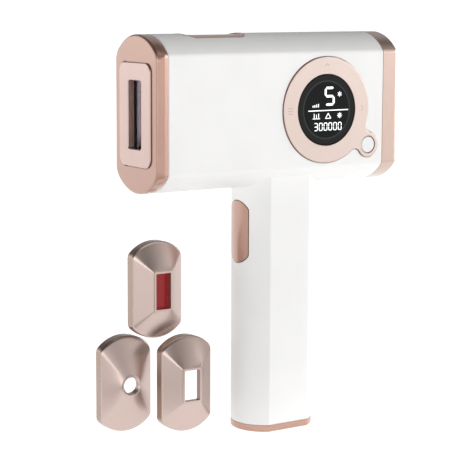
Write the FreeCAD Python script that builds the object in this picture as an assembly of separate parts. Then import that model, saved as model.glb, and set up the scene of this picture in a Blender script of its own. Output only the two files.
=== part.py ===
"""Hand-held IPL hair remover with three loose magnetic heads, in millimetres, +Z up.

The body is a T: a level head with the treatment window in its -X end, on an upright handle.
The origin is the middle of the handle's foot. The head's front, with the control ring, faces -Y.
"""

import FreeCAD, Part
import math
import os

os.makedirs("parts", exist_ok=True)

V = FreeCAD.Vector
X_AXIS = V(1, 0, 0)
Y_AXIS = V(0, 1, 0)
Z_AXIS = V(0, 0, 1)

# Head: level, along X. Its section is two flats (front and rear) with a bowed top and underside.
HEAD_Z = 151.8
HEAD_FLAT = 26.7
HEAD_BOW = 9.0
HEAD_HALF = 18.0
NOSE_X = -75.2
NOSE_SEAM_X = -69.1
REAR_SEAM_X = 51.7
REAR_X = 60.8
HEAD_TOP = HEAD_Z + HEAD_FLAT + HEAD_BOW

# Handle: upright, along Z. Its section is two flats with bowed -X and +X sides.
HANDLE_FLAT = 11.1
HANDLE_BOW = 9.1
HANDLE_HALF = 14.4
FOOT_H = 3.3

WALL = 2.0
HEAD_CREASE_R = 2.6
NOSE_CREASE_R = 9.0
HANDLE_CREASE_R = 1.8
EDGE_BEVEL = 0.35
BUTTON_GAP = 0.35
FIT = 0.1
SPIGOT_T = 1.3
SPIGOT_L = 3.0

# Control ring, display and power button on the head's front
RING_X = 17.6
RING_Z = 151.7
RING_R = 24.9
RING_HOLE_R = 16.9
RING_PROUD = 0.6
RING_SEAT_DEPTH = 1.0
DISPLAY_R = 16.7
POWER_X = 42.5
POWER_Z = 134.3
LOBE_R = 6.0
LOBE_FILLET = 3.2
POWER_HOLE_R = 4.25
POWER_R = 3.9
POWER_TRAVEL = 0.8

# Flash trigger on the handle, and the top button on the head
TRIGGER_Z = 95.0
TRIGGER_FLAT = 10.8
PAD_BOW = 3.8
PAD_HALF = 6.9
TRIGGER_TRAVEL = 1.5
TRIGGER_SWITCH_X = -8.6
HANDLE_BOARD_X = -5.0
TOP_X = -36.5
TOP_FLAT = 12.4
TOP_HALF = 7.9
TOP_TRAVEL = 1.0
TOP_SWITCH_Z = 178.1
TOP_WELL = 1.9

# Treatment window in the nose
PLATE_HALF_W = 13.3
PLATE_HALF_H = 23.25
PLATE_CORNER_R = 4.5
PLATE_PROUD = 0.8
PLATE_SEAT = 1.0
NOSE_WALL = 2.4
WINDOW_HALF_W = 5.6
WINDOW_HALF_H = 15.3
SEAL_T = 0.8
GLASS_T = 1.5
SEAL_X = NOSE_X + NOSE_WALL
GLASS_X = SEAL_X + SEAL_T
MOUTH_X = GLASS_X + GLASS_T
GLASS_HALF_W = 8.0
GLASS_HALF_H = 17.0
MAGNET_R = 2.0
MAGNET_T = 1.0
MAGNET_RISE = 19.2

# Flash lamp, reflector and heat sink behind the window
LAMP_X = -62.0
LAMP_R = 2.0
LAMP_HALF = 21.0
REFLECTOR_T = 0.6
FIN_COUNT = 7

# Fan behind the rear cap
FAN_X = 43.2
FAN_T = 7.5
FAN_HALF = 12.5
BLADE_COUNT = 7

# Boards, screws and the pegs that join the shell halves
BOARD_Y = -11.0
BOARD_T = 1.6
BOARD_SCREWS = [(-5.0, 130.5), (33.5, 130.5), (-5.0, 172.5), (33.5, 172.5)]
PEGS = [(-57.5, 178.5), (-14.0, 176.5), (-57.5, 125.1), (46.0, 176.0)]

# Inside the handle
INLET_R = 3.3
CAPACITOR_X = 3.0
CAPACITOR_R = 10.5
CAPACITOR_LOW = 22.0
CAPACITOR_H = 50.0
LEAD_X = -9.8

# Loose heads: thin shells, open at the back, with a raised frame round the opening
LOOSE_FLAT = 16.85
LOOSE_BOW = 6.25
LOOSE_HALF = 13.5
LOOSE_CORNER_R = 3.4
LOOSE_RIM = 4.75
SHOULDER_R = 1.7
LOOSE_DEPTH = 10.2
LOOSE_WALL = 1.5
FRAMES = {"clear": (5.2, 8.5), "red": (5.1, 9.6)}
LAND_RISE = 0.35
FRAME_LIP = 1.1
ROUND_HOLE_R = 3.9
ROUND_BEVEL_R = 4.5
COLLAR_T = 0.8
COLLAR_DEPTH = 3.0
CARRIER_T = 1.6
CARRIER_HALF_W = 11.0
CARRIER_HALF_H = 15.4
FILTER_T = 0.9
# name: middle of the back x, y, height of the lowest point, turn about Z in degrees
LOOSE_HEADS = {
    "round": (-66.4, 29.0, 0.0, -1.5),
    "clear": (-42.3, 13.8, 0.0, -1.5),
    "red": (-53.4, 22.0, 44.7, 0.0),
}


def bowed_profile(flat, bow, half, grow, at):
    """Closed wire of two flats and two bowed ends; at(u, v) places a point of the outline."""
    radius = (half * half + bow * bow) / (2 * bow)
    centre = flat + bow - radius
    side = half + grow
    corner = centre + math.sqrt((radius + grow) ** 2 - side**2)
    tip = centre + radius + grow
    edges = [
        Part.LineSegment(at(-corner, -side), at(corner, -side)).toShape(),
        Part.Arc(at(corner, -side), at(tip, 0), at(corner, side)).toShape(),
        Part.LineSegment(at(corner, side), at(-corner, side)).toShape(),
        Part.Arc(at(-corner, side), at(-tip, 0), at(-corner, -side)).toShape(),
    ]
    return Part.Wire(edges)


def extrude(wire, direction, length):
    return Part.Face(wire).extrude(direction * length)


def edges_along(shape, axis):
    """Straight edges parallel to an axis."""
    found = []
    for edge in shape.Edges:
        if not isinstance(edge.Curve, Part.Line):
            continue
        if abs(edge.Curve.Direction.dot(axis)) > 0.999:
            found.append(edge)
    return found


def edges_in_plane(shape, axis, place):
    """Edges that lie in the plane at this distance along an axis."""
    found = []
    for edge in shape.Edges:
        ends = [edge.valueAt(edge.FirstParameter), edge.valueAt(edge.LastParameter)]
        middle = edge.valueAt((edge.FirstParameter + edge.LastParameter) / 2)
        if all(abs(p.dot(axis) - place) < 1e-4 for p in ends + [middle]):
            found.append(edge)
    return found


def wire_in_plane(block, axis, place):
    """Outer wire of the flat end that lies at this place along an axis."""
    for face in block.Faces:
        if all(abs(vertex.Point.dot(axis) - place) < 1e-6 for vertex in face.Vertexes):
            return face.OuterWire


def head_wire(x, grow):
    return bowed_profile(HEAD_FLAT, HEAD_BOW, HEAD_HALF, grow, lambda u, v: V(x, v, HEAD_Z + u))


def head_block(x_from, x_to, grow=0.0, crease=0.0):
    block = extrude(head_wire(x_from, grow), X_AXIS, x_to - x_from)
    if crease:
        block = block.makeFillet(crease, edges_along(block, X_AXIS))
    return block


def head_section(x, grow, crease):
    """Outline of the head with rounded creases."""
    return wire_in_plane(head_block(x, x + 1, grow, crease), X_AXIS, x)


def handle_wire(z, grow):
    return bowed_profile(HANDLE_FLAT, HANDLE_BOW, HANDLE_HALF, grow, lambda u, v: V(u, v, z))


def handle_block(z_from, z_to, grow=0.0, crease=0.0):
    block = extrude(handle_wire(z_from, grow), Z_AXIS, z_to - z_from)
    if crease:
        block = block.makeFillet(crease, edges_along(block, Z_AXIS))
    return block


def pad_prism(flat, half, grow, at, direction, length, corner_r):
    """Prism of a button's arc-ended outline with its four corners rounded."""
    block = extrude(bowed_profile(flat, PAD_BOW, half, grow, at), direction, length)
    return block.makeFillet(max(corner_r, 0.4), edges_along(block, direction))


def trigger_prism(grow):
    return pad_prism(TRIGGER_FLAT, PAD_HALF, grow, lambda u, v: V(-40, v, TRIGGER_Z + u), X_AXIS, 40, 1.0 + grow)


def top_prism(grow):
    return pad_prism(TOP_FLAT, TOP_HALF, grow, lambda u, v: V(TOP_X + u, v, 170), Z_AXIS, 30, 1.6 + grow)


def rounded_plate(half_w, half_h, corner_r, x_from, x_to, y=0.0, z=HEAD_Z):
    """Rounded rectangle across X, as the window, its glass and its plate have."""
    corner = V(x_from, y - half_w, z - half_h)
    block = Part.makeBox(x_to - x_from, 2 * half_w, 2 * half_h, corner)
    return block.makeFillet(corner_r, edges_along(block, X_AXIS))


def cylinder(radius, start, direction, length):
    return Part.makeCylinder(radius, length, start, direction)


def tube(outer, inner, start, direction, length):
    bore = cylinder(inner, start - direction, direction, length + 2)
    return cylinder(outer, start, direction, length).cut(bore)


def box(x, y, z):
    """Box from (low, high) pairs."""
    return Part.makeBox(x[1] - x[0], y[1] - y[0], z[1] - z[0], V(x[0], y[0], z[0]))


def fused(shapes):
    return shapes[0].fuse(shapes[1:]).removeSplitter()


def save(shape, node):
    shape.exportStep("parts/" + node + ".step")


# ---------------------------------------------------------------- shell


def ring_outline(radius, lobe_r, fillet, y, thickness):
    """Disc with a round lobe round the power button, blended in with concave fillets."""
    dx = POWER_X - RING_X
    dz = POWER_Z - RING_Z
    reach = math.hypot(dx, dz)
    to_ring = radius + fillet
    to_lobe = lobe_r + fillet
    along = (reach**2 + to_ring**2 - to_lobe**2) / (2 * reach)
    aside = math.sqrt(to_ring**2 - along**2)
    ux, uz = dx / reach, dz / reach
    disc = cylinder(radius, V(RING_X, y, RING_Z), Y_AXIS, thickness)
    lobe = cylinder(lobe_r, V(POWER_X, y, POWER_Z), Y_AXIS, thickness)
    web_points = [V(RING_X, y, RING_Z)]
    notches = []
    for side in (1, -1):
        cx = RING_X + ux * along - uz * aside * side
        cz = RING_Z + uz * along + ux * aside * side
        web_points.append(V(cx, y, cz))
        notches.append(cylinder(fillet, V(cx, y - 1, cz), Y_AXIS, thickness + 2))
    web_points.insert(2, V(POWER_X, y, POWER_Z))
    web = extrude(Part.makePolygon(web_points + web_points[:1]), Y_AXIS, thickness)
    for notch in notches:
        web = web.cut(notch)
    return fused([disc, lobe, web])


def make_shell():
    """Both halves of the white housing, from one hollow T."""
    head = head_block(NOSE_SEAM_X, REAR_SEAM_X, crease=HEAD_CREASE_R)
    ends = edges_in_plane(head, X_AXIS, NOSE_SEAM_X) + edges_in_plane(head, X_AXIS, REAR_SEAM_X)
    head = head.makeChamfer(EDGE_BEVEL, ends)
    handle = handle_block(FOOT_H, HEAD_Z, crease=HANDLE_CREASE_R)
    handle = handle.makeChamfer(EDGE_BEVEL, edges_in_plane(handle, Z_AXIS, FOOT_H))
    hollow = head_block(NOSE_SEAM_X - 1, REAR_SEAM_X + 1, grow=-WALL)
    grip_hollow = handle_block(FOOT_H - 1, HEAD_Z, grow=-WALL)
    shell = head.fuse(handle).cut(hollow).cut(grip_hollow)

    seat_y = -HEAD_HALF - 1
    shell = shell.cut(ring_outline(RING_R + 0.3, LOBE_R + 0.3, LOBE_FILLET - 0.3, seat_y, 1 + RING_SEAT_DEPTH))
    shell = shell.cut(cylinder(DISPLAY_R - 1.1, V(RING_X, seat_y, RING_Z), Y_AXIS, 6))
    shell = shell.cut(cylinder(POWER_HOLE_R, V(POWER_X, seat_y, POWER_Z), Y_AXIS, 6))
    shell = shell.cut(trigger_prism(BUTTON_GAP))
    shell = shell.cut(top_prism(1.4))
    for slot in intake_slots():
        shell = shell.cut(slot)
    return shell


def intake_slots():
    """Air intake in the rear of the head, behind the heat sink."""
    slots = []
    for row in range(5):
        z = HEAD_Z - 14 + row * 7
        bar = box((-58, -34), (HEAD_HALF - 4, HEAD_HALF + 2), (z - 1.1, z + 1.1))
        slots.append(bar.makeFillet(1.0, edges_along(bar, Y_AXIS)))
    return slots


def peg_boss(x, z, front):
    """Boss from a shell half's flat wall to the parting plane."""
    start = V(x, -HEAD_HALF + WALL, z) if front else V(x, 0, z)
    return cylinder(2.4, start, Y_AXIS, HEAD_HALF - WALL)


def make_shell_halves():
    shell = make_shell()
    span = ((-90, 70), (0, 30), (-5, 200))
    rear = shell.common(box(*span))
    front = shell.common(box(span[0], (-30, 0), span[2]))
    for x, z in PEGS:
        rear = rear.fuse(peg_boss(x, z, False).fuse(cylinder(1.1, V(x, -3, z), Y_AXIS, 6)))
        front = front.fuse(peg_boss(x, z, True)).cut(cylinder(1.1, V(x, -3.2, z), Y_AXIS, 3.2))
    for x, z in BOARD_SCREWS:
        post = cylinder(2.2, V(x, -HEAD_HALF + WALL, z), Y_AXIS, BOARD_Y + HEAD_HALF - WALL)
        front = front.fuse(post).cut(cylinder(0.9, V(x, BOARD_Y - 4, z), Y_AXIS, 4))
    save(front.removeSplitter(), "front_shell")
    save(rear.removeSplitter(), "rear_shell")


# ---------------------------------------------------------------- caps


def cap_spigot(seam_x, towards):
    """Ring that plugs a cap into the shell."""
    ends = sorted([seam_x, seam_x + SPIGOT_L * towards])
    ring = head_block(ends[0], ends[1], grow=-WALL - FIT)
    return ring.cut(head_block(ends[0] - 1, ends[1] + 1, grow=-WALL - FIT - SPIGOT_T))


def make_nose_cap():
    band_x = NOSE_SEAM_X - 2.0
    face_wire = head_section(NOSE_X, 0, NOSE_CREASE_R)
    band_wire = head_section(band_x, 0, HEAD_CREASE_R)
    block = Part.makeLoft([face_wire, band_wire], True, True)
    block = block.makeFillet(1.1, edges_in_plane(block, X_AXIS, NOSE_X))
    bevel = Part.makeLoft([band_wire, head_section(NOSE_SEAM_X, -0.3, HEAD_CREASE_R)], True, True)
    hollow = head_block(NOSE_X + NOSE_WALL, NOSE_SEAM_X + 1, grow=-WALL - FIT - SPIGOT_T)
    cap = fused([block, bevel]).cut(hollow).fuse(cap_spigot(NOSE_SEAM_X, 1)).removeSplitter()
    seat = rounded_plate(PLATE_HALF_W + 0.5, PLATE_HALF_H + 0.5, PLATE_CORNER_R + 0.5, NOSE_X - 1, NOSE_X + PLATE_SEAT)
    cap = cap.cut(seat)
    for side in (-1, 1):
        start = V(NOSE_X + PLATE_SEAT, 0, HEAD_Z + side * MAGNET_RISE)
        cap = cap.cut(cylinder(MAGNET_R, start, X_AXIS, MAGNET_T))
    window = rounded_plate(WINDOW_HALF_W, WINDOW_HALF_H, 1.2, NOSE_X - 1, NOSE_SEAM_X)
    save(cap.cut(window), "nose_cap")


def make_rear_cap():
    """Cap with seven outlet slots, the outer two shorter to follow the bowed ends."""
    block = head_block(REAR_SEAM_X, REAR_X, crease=HEAD_CREASE_R)
    block = block.makeFillet(1.8, edges_in_plane(block, X_AXIS, REAR_X))
    hollow = head_block(REAR_SEAM_X - 1, REAR_X - WALL, grow=-WALL - FIT - SPIGOT_T)
    cap = block.cut(hollow).fuse(cap_spigot(REAR_SEAM_X, -1)).removeSplitter()
    for row in range(-3, 4):
        half = 9.5 if abs(row) < 3 else 6.5
        z = HEAD_Z + row * 5.0
        slot = box((REAR_X - WALL - 1, REAR_X + 1), (-half, half), (z - 1.1, z + 1.1))
        cap = cap.cut(slot.makeFillet(1.0, edges_along(slot, X_AXIS)))
    save(cap, "rear_cap")


def make_rear_grille():
    """Fine mesh plate behind the outlet slots."""
    x = REAR_X - WALL - 0.8
    plate = box((x, x + 0.8), (-12, 12), (HEAD_Z - 18.5, HEAD_Z + 18.5))
    holes = []
    for row in range(-6, 7):
        for column in range(-3, 4):
            start = V(x - 1, column * 3.0, HEAD_Z + row * 2.6)
            holes.append(cylinder(0.9, start, X_AXIS, 3))
    save(plate.cut(Part.makeCompound(holes)), "rear_grille")


def make_foot_cap():
    block = handle_block(0, FOOT_H, crease=HANDLE_CREASE_R)
    block = block.makeFillet(0.9, edges_in_plane(block, Z_AXIS, 0))
    spigot = handle_block(FOOT_H, FOOT_H + 4, grow=-WALL - FIT)
    cap = block.fuse(spigot).cut(handle_block(FOOT_H, FOOT_H + 5, grow=-WALL - FIT - SPIGOT_T))
    cap = cap.cut(cylinder(INLET_R, V(0, 0, -1), Z_AXIS, 6))
    save(cap.removeSplitter(), "foot_cap")


# ---------------------------------------------------------------- window and lamp

def make_lens_plate():
    front = NOSE_X - PLATE_PROUD
    plate = rounded_plate(PLATE_HALF_W, PLATE_HALF_H, PLATE_CORNER_R, front, NOSE_X + PLATE_SEAT)
    plate = plate.makeFillet(0.45, edges_in_plane(plate, X_AXIS, front))
    window = rounded_plate(WINDOW_HALF_W, WINDOW_HALF_H, 1.2, front - 1, NOSE_X + PLATE_SEAT + 1)
    plate = plate.cut(window)
    rim = [e for e in edges_in_plane(plate, X_AXIS, front) if abs(e.CenterOfMass.y) < WINDOW_HALF_W + 0.1]
    rim = [e for e in rim if abs(e.CenterOfMass.z - HEAD_Z) < WINDOW_HALF_H + 0.1]
    save(plate.makeChamfer(0.35, rim), "lens_plate")


def make_plate_magnets():
    discs = []
    for side in (-1, 1):
        start = V(NOSE_X + PLATE_SEAT, 0, HEAD_Z + side * MAGNET_RISE)
        discs.append(cylinder(MAGNET_R, start, X_AXIS, MAGNET_T))
    save(Part.makeCompound(discs), "plate_magnets")


def make_window():
    outer = rounded_plate(GLASS_HALF_W, GLASS_HALF_H, 2.0, SEAL_X, GLASS_X)
    inner = rounded_plate(WINDOW_HALF_W, WINDOW_HALF_H, 1.2, SEAL_X - 1, GLASS_X + 1)
    save(outer.cut(inner), "window_seal")
    save(rounded_plate(GLASS_HALF_W, GLASS_HALF_H, 2.0, GLASS_X, MOUTH_X), "window_glass")


def make_reflector():
    """Polished trough: straight sides, a round back behind the lamp, and two end plates."""
    skin = REFLECTOR_T
    centre_x = LAMP_X - 0.9
    half = WINDOW_HALF_W
    height = 2 * WINDOW_HALF_H
    low = HEAD_Z - WINDOW_HALF_H

    def trough(grow, z, tall):
        straight = box((MOUTH_X, centre_x), (-half - grow, half + grow), (z, z + tall))
        return straight.fuse(cylinder(half + grow, V(centre_x, 0, z), Z_AXIS, tall))

    outer = trough(skin, low - skin, height + 2 * skin)
    room = trough(0, low, height)
    hole = cylinder(LAMP_R + 0.3, V(LAMP_X, 0, low - 2), Z_AXIS, height + 4)
    outer = outer.common(box((MOUTH_X, -40), (-10, 10), (100, 200)))
    room = room.fuse(box((MOUTH_X - 1, MOUTH_X), (-half, half), (low, low + height)))
    save(outer.cut(room).cut(hole).removeSplitter(), "reflector")


def make_lamp():
    glass = cylinder(LAMP_R, V(LAMP_X, 0, HEAD_Z - LAMP_HALF), Z_AXIS, 2 * LAMP_HALF)
    save(glass, "flash_lamp")
    ends = []
    holders = []
    for side in (-1, 1):
        tip = V(LAMP_X, 0, HEAD_Z + side * LAMP_HALF)
        ends.append(cylinder(LAMP_R, tip, Z_AXIS * side, 2.0))
        low = min(side * 17.0, side * 20.5) + HEAD_Z
        block = box((LAMP_X - 5, LAMP_X + 5), (-5, 5), (low, low + 3.5))
        holders.append(block.cut(cylinder(LAMP_R, V(LAMP_X, 0, low - 1), Z_AXIS, 6)))
    save(Part.makeCompound(ends), "lamp_electrodes")
    save(Part.makeCompound(holders), "lamp_holders")


def make_heat_sink():
    base_x = LAMP_X - 0.9 + WINDOW_HALF_W + REFLECTOR_T
    parts = [box((base_x, base_x + 3), (-11, 11), (HEAD_Z - 15, HEAD_Z + 15))]
    for fin in range(FIN_COUNT):
        z = HEAD_Z - 15 + fin * 28.5 / (FIN_COUNT - 1)
        parts.append(box((base_x + 3, base_x + 17), (-11, 11), (z, z + 1.5)))
    save(fused(parts), "lamp_heat_sink")


# ---------------------------------------------------------------- fan

def make_fan():
    bore_r = FAN_HALF - 0.9
    frame = box((FAN_X, FAN_X + FAN_T), (-FAN_HALF, FAN_HALF), (HEAD_Z - FAN_HALF, HEAD_Z + FAN_HALF))
    frame = frame.makeFillet(1.5, edges_along(frame, X_AXIS))
    frame = frame.cut(cylinder(bore_r, V(FAN_X - 1, 0, HEAD_Z), X_AXIS, FAN_T + 2))
    hub = cylinder(4.4, V(FAN_X, 0, HEAD_Z), X_AXIS, 1.4)
    spokes = []
    for turn in (90, 210, 330):
        spoke = box((FAN_X, FAN_X + 1.2), (-0.8, 0.8), (HEAD_Z + 3, HEAD_Z + bore_r + 0.4))
        spoke.rotate(V(0, 0, HEAD_Z), X_AXIS, turn)
        spokes.append(spoke)
    frame = fused([frame, hub] + spokes)
    frame = frame.cut(cylinder(0.8, V(FAN_X - 1, 0, HEAD_Z), X_AXIS, 5))
    for y in (-10.6, 10.6):
        for z in (-10.6, 10.6):
            frame = frame.cut(cylinder(0.9, V(FAN_X - 1, y, HEAD_Z + z), X_AXIS, FAN_T + 2))
    save(frame, "fan_frame")

    hub_x = FAN_X + 1.8
    rotor = [cylinder(4.4, V(hub_x, 0, HEAD_Z), X_AXIS, 5.2)]
    for blade in range(BLADE_COUNT):
        plate = box((hub_x, hub_x + 5), (-0.35, 0.35), (HEAD_Z + 4, HEAD_Z + bore_r - 0.6))
        plate.rotate(V(hub_x + 2.5, 0, HEAD_Z), Z_AXIS, 38)
        plate.rotate(V(0, 0, HEAD_Z), X_AXIS, blade * 360 / BLADE_COUNT)
        rotor.append(plate)
    reach = cylinder(bore_r - 0.5, V(hub_x - 0.5, 0, HEAD_Z), X_AXIS, 6)
    shaft = cylinder(0.74, V(FAN_X + 0.2, 0, HEAD_Z), X_AXIS, 3)
    save(fused([fused(rotor).common(reach), shaft]), "fan_rotor")


# ---------------------------------------------------------------- control ring and electronics

def make_control_ring():
    back = -HEAD_HALF + RING_SEAT_DEPTH
    thickness = RING_SEAT_DEPTH + RING_PROUD
    front = back - thickness
    ring = ring_outline(RING_R, LOBE_R, LOBE_FILLET, front, thickness)
    ring = ring.makeFillet(0.35, edges_in_plane(ring, Y_AXIS, front))
    ring = ring.cut(cylinder(RING_HOLE_R, V(RING_X, front - 1, RING_Z), Y_AXIS, 6))
    ring = ring.cut(cylinder(POWER_HOLE_R, V(POWER_X, front - 1, POWER_Z), Y_AXIS, 6))
    save(ring, "control_ring")


def make_display():
    front = -HEAD_HALF - RING_PROUD + 0.15
    back = -HEAD_HALF + RING_SEAT_DEPTH
    lens = cylinder(DISPLAY_R, V(RING_X, front, RING_Z), Y_AXIS, back - front)
    save(lens.makeFillet(0.3, edges_in_plane(lens, Y_AXIS, front)), "display_lens")
    module = cylinder(DISPLAY_R - 1.4, V(RING_X, back, RING_Z), Y_AXIS, BOARD_Y - back)
    save(module, "display_module")


def make_control_board():
    board = box((-8, 36.5), (BOARD_Y, BOARD_Y + BOARD_T), (127.5, 175.5))
    for x, z in BOARD_SCREWS:
        board = board.cut(cylinder(0.95, V(x, BOARD_Y - 1, z), Y_AXIS, 4))
    chips = [
        box((6, 18), (BOARD_Y + BOARD_T, BOARD_Y + BOARD_T + 1.4), (146, 158)),
        box((22, 29), (BOARD_Y + BOARD_T, BOARD_Y + BOARD_T + 1.2), (150, 155)),
        box((-4, 2), (BOARD_Y + BOARD_T, BOARD_Y + BOARD_T + 4.0), (140, 152)),
    ]
    save(fused([board] + chips), "control_board")
    screws = []
    for x, z in BOARD_SCREWS:
        top = BOARD_Y + BOARD_T
        head = cylinder(1.8, V(x, top, z), Y_AXIS, 1.2)
        shank = cylinder(0.88, V(x, BOARD_Y - 3.6, z), Y_AXIS, BOARD_T + 3.6)
        slot_a = box((x - 1.1, x + 1.1), (top + 0.6, top + 2), (z - 0.2, z + 0.2))
        slot_b = box((x - 0.2, x + 0.2), (top + 0.6, top + 2), (z - 1.1, z + 1.1))
        screws.append(head.fuse(shank).cut(slot_a).cut(slot_b))
    save(Part.makeCompound(screws), "board_screws")


def make_power_button():
    front = -HEAD_HALF - RING_PROUD
    cap = cylinder(POWER_R, V(POWER_X, front, POWER_Z), Y_AXIS, 3.4)
    cap = cap.makeFillet(0.5, edges_in_plane(cap, Y_AXIS, front))
    collar_y = -HEAD_HALF + WALL + 0.25
    collar = cylinder(POWER_R + 1.3, V(POWER_X, collar_y, POWER_Z), Y_AXIS, 0.8)
    save(fused([cap, collar]), "power_button")
    top = collar_y + 0.8 + POWER_TRAVEL + 0.2
    body = box((POWER_X - 3, POWER_X + 3), (top + 0.5, BOARD_Y), (POWER_Z - 3, POWER_Z + 3))
    dome = cylinder(1.7, V(POWER_X, top, POWER_Z), Y_AXIS, 1)
    save(fused([body, dome]), "power_switch")
    save(box((37.5, 48.5), (BOARD_Y, BOARD_Y + BOARD_T), (127.5, 138.5)), "power_board")


# ---------------------------------------------------------------- trigger


def skin_patch(outer, inner, prism):
    return outer.cut(inner).common(prism)


def make_trigger():
    pad = skin_patch(handle_block(60, 130, grow=0.25), handle_block(59, 131, grow=-WALL - 1.3), trigger_prism(0))
    flange = skin_patch(
        handle_block(60, 130, grow=-WALL - 0.3), handle_block(59, 131, grow=-WALL - 1.3), trigger_prism(1.3)
    )
    keep = box((-30, 0), (-30, 30), (60, 130))
    pad = fused([pad.common(keep), flange.common(keep)])
    side = -HANDLE_FLAT - HANDLE_BOW
    post_end = TRIGGER_SWITCH_X - TRIGGER_TRAVEL - 0.2
    post = cylinder(1.8, V(side + WALL, 0, TRIGGER_Z), X_AXIS, post_end - side - WALL)
    save(fused([pad, post]), "trigger_button")


def coil_spring(radius, wire, pitch, start, direction, length):
    """Compression spring of round wire, wound as a helix."""
    helix = Part.makeHelix(pitch, length, radius)
    ring = Part.Wire(Part.makeCircle(wire, V(radius, 0, 0), V(0, 2 * math.pi * radius, pitch)))
    spring = Part.Wire(helix).makePipeShell([ring], True, True)
    spring.Placement = FreeCAD.Placement(start, FreeCAD.Rotation(Z_AXIS, direction))
    return spring


def make_trigger_switch():
    face_x = -HANDLE_FLAT - HANDLE_BOW + WALL + 1.4
    start = V(face_x + 0.4, 0, TRIGGER_Z)
    save(coil_spring(2.9, 0.3, 1.5, start, X_AXIS, HANDLE_BOARD_X - face_x - 0.8), "trigger_spring")
    body = box((TRIGGER_SWITCH_X, HANDLE_BOARD_X), (-1.7, 1.7), (TRIGGER_Z - 1.7, TRIGGER_Z + 1.7))
    save(body, "trigger_switch")
    board = box((HANDLE_BOARD_X, HANDLE_BOARD_X + BOARD_T), (-9, 9), (TRIGGER_Z - 17, TRIGGER_Z + 17))
    chip = box((HANDLE_BOARD_X + BOARD_T, HANDLE_BOARD_X + BOARD_T + 5), (-5, 5), (TRIGGER_Z - 8, TRIGGER_Z + 4))
    save(fused([board, chip]), "handle_board")


# ---------------------------------------------------------------- top button

def top_slice(outer_grow, inner_grow, prism):
    """Patch of the head's bowed top between two depths, inside a prism."""
    outer = head_block(-60, -10, grow=outer_grow)
    patch = skin_patch(outer, head_block(-61, -9, grow=inner_grow), prism)
    return patch.common(box((-60, -10), (-20, 20), (HEAD_TOP - 17, HEAD_TOP + 3)))


def make_top_button():
    def outline(grow, z):
        return bowed_profile(TOP_FLAT, PAD_BOW, TOP_HALF, grow, lambda u, v: V(TOP_X + u, v, z))

    funnel = Part.makeLoft([outline(-1.5, HEAD_TOP - 4.5), outline(0.6, HEAD_TOP + 0.5)], True, True)
    bezel = top_slice(0.12, -WALL - 0.6, top_prism(1.3))
    save(bezel.cut(funnel).cut(top_prism(-1.5)), "top_button_bezel")

    pad = top_slice(-0.55, -WALL - TOP_WELL, top_prism(-1.9))
    flange = top_slice(-WALL - 0.9, -WALL - TOP_WELL, top_prism(-0.4))
    under = HEAD_TOP - WALL - TOP_WELL
    foot = TOP_SWITCH_Z + TOP_TRAVEL + 0.3
    post = cylinder(1.8, V(TOP_X, 0, foot), Z_AXIS, under + 0.2 - foot)
    save(fused([pad, flange, post]), "top_button")

    switch_foot = TOP_SWITCH_Z - 3.5
    board = box((TOP_X - 12, TOP_X + 12), (-6, 6), (switch_foot - BOARD_T, switch_foot))
    save(board, "top_board")
    switch = box((TOP_X - 2, TOP_X + 2), (-2, 2), (switch_foot, TOP_SWITCH_Z))
    save(switch, "top_switch")
    spring_foot = switch_foot + 0.4
    start = V(TOP_X, 0, spring_foot)
    save(coil_spring(3.2, 0.3, 1.4, start, Z_AXIS, under - spring_foot - 0.8), "top_spring")


# ---------------------------------------------------------------- handle internals

def make_handle_parts():
    jack = box((-5.5, 5.5), (-5.5, 5.5), (FOOT_H, FOOT_H + 12))
    jack = jack.cut(cylinder(2.85, V(0, 0, FOOT_H - 1), Z_AXIS, 10.5))
    pin = cylinder(0.95, V(0, 0, FOOT_H + 1.2), Z_AXIS, 9)
    save(fused([jack, pin]), "dc_jack")

    low = CAPACITOR_LOW
    can = cylinder(CAPACITOR_R, V(CAPACITOR_X, 0, low), Z_AXIS, CAPACITOR_H)
    can = can.makeFillet(0.8, can.Edges)
    groove = Part.makeTorus(CAPACITOR_R + 0.4, 1.0, V(CAPACITOR_X, 0, low + 5), Z_AXIS)
    save(can.cut(groove), "flash_capacitor")

    cradle = box((CAPACITOR_X - CAPACITOR_R, 14), (-12, 12), (low - 3, low + 14))
    cradle = cradle.common(handle_block(low - 4, low + 20, grow=-WALL - 0.1))
    save(cradle.cut(cylinder(CAPACITOR_R, V(CAPACITOR_X, 0, low), Z_AXIS, 30)), "capacitor_cradle")

    coil = tube(5.5, 2.0, V(-50, 0, 127.0), X_AXIS, 14)
    core = cylinder(2.0, V(-52, 0, 127.0), X_AXIS, 18)
    flange_a = tube(6.3, 2.0, V(-51, 0, 127.0), X_AXIS, 1)
    flange_b = tube(6.3, 2.0, V(-36, 0, 127.0), X_AXIS, 1)
    save(fused([coil, core, flange_a, flange_b]), "trigger_coil")


def lead(points, radius, bend):
    """Insulated wire along straight runs joined by tangent arcs."""
    edges = []
    here = points[0]
    for k in range(1, len(points) - 1):
        back = (points[k - 1] - points[k]).normalize()
        ahead = (points[k + 1] - points[k]).normalize()
        turn = math.pi - back.getAngle(ahead)
        cut = bend * math.tan(turn / 2)
        first = points[k] + back * cut
        last = points[k] + ahead * cut
        inward = (back + ahead).normalize()
        hub = points[k] + inward * (bend / math.cos(turn / 2))
        middle = hub - inward * bend
        edges.append(Part.LineSegment(here, first).toShape())
        edges.append(Part.Arc(first, middle, last).toShape())
        here = last
    edges.append(Part.LineSegment(here, points[-1]).toShape())
    start = (points[1] - points[0]).normalize()
    ring = Part.Wire(Part.makeCircle(radius, points[0], start))
    return Part.Wire(edges).makePipeShell([ring], True, False)


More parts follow.
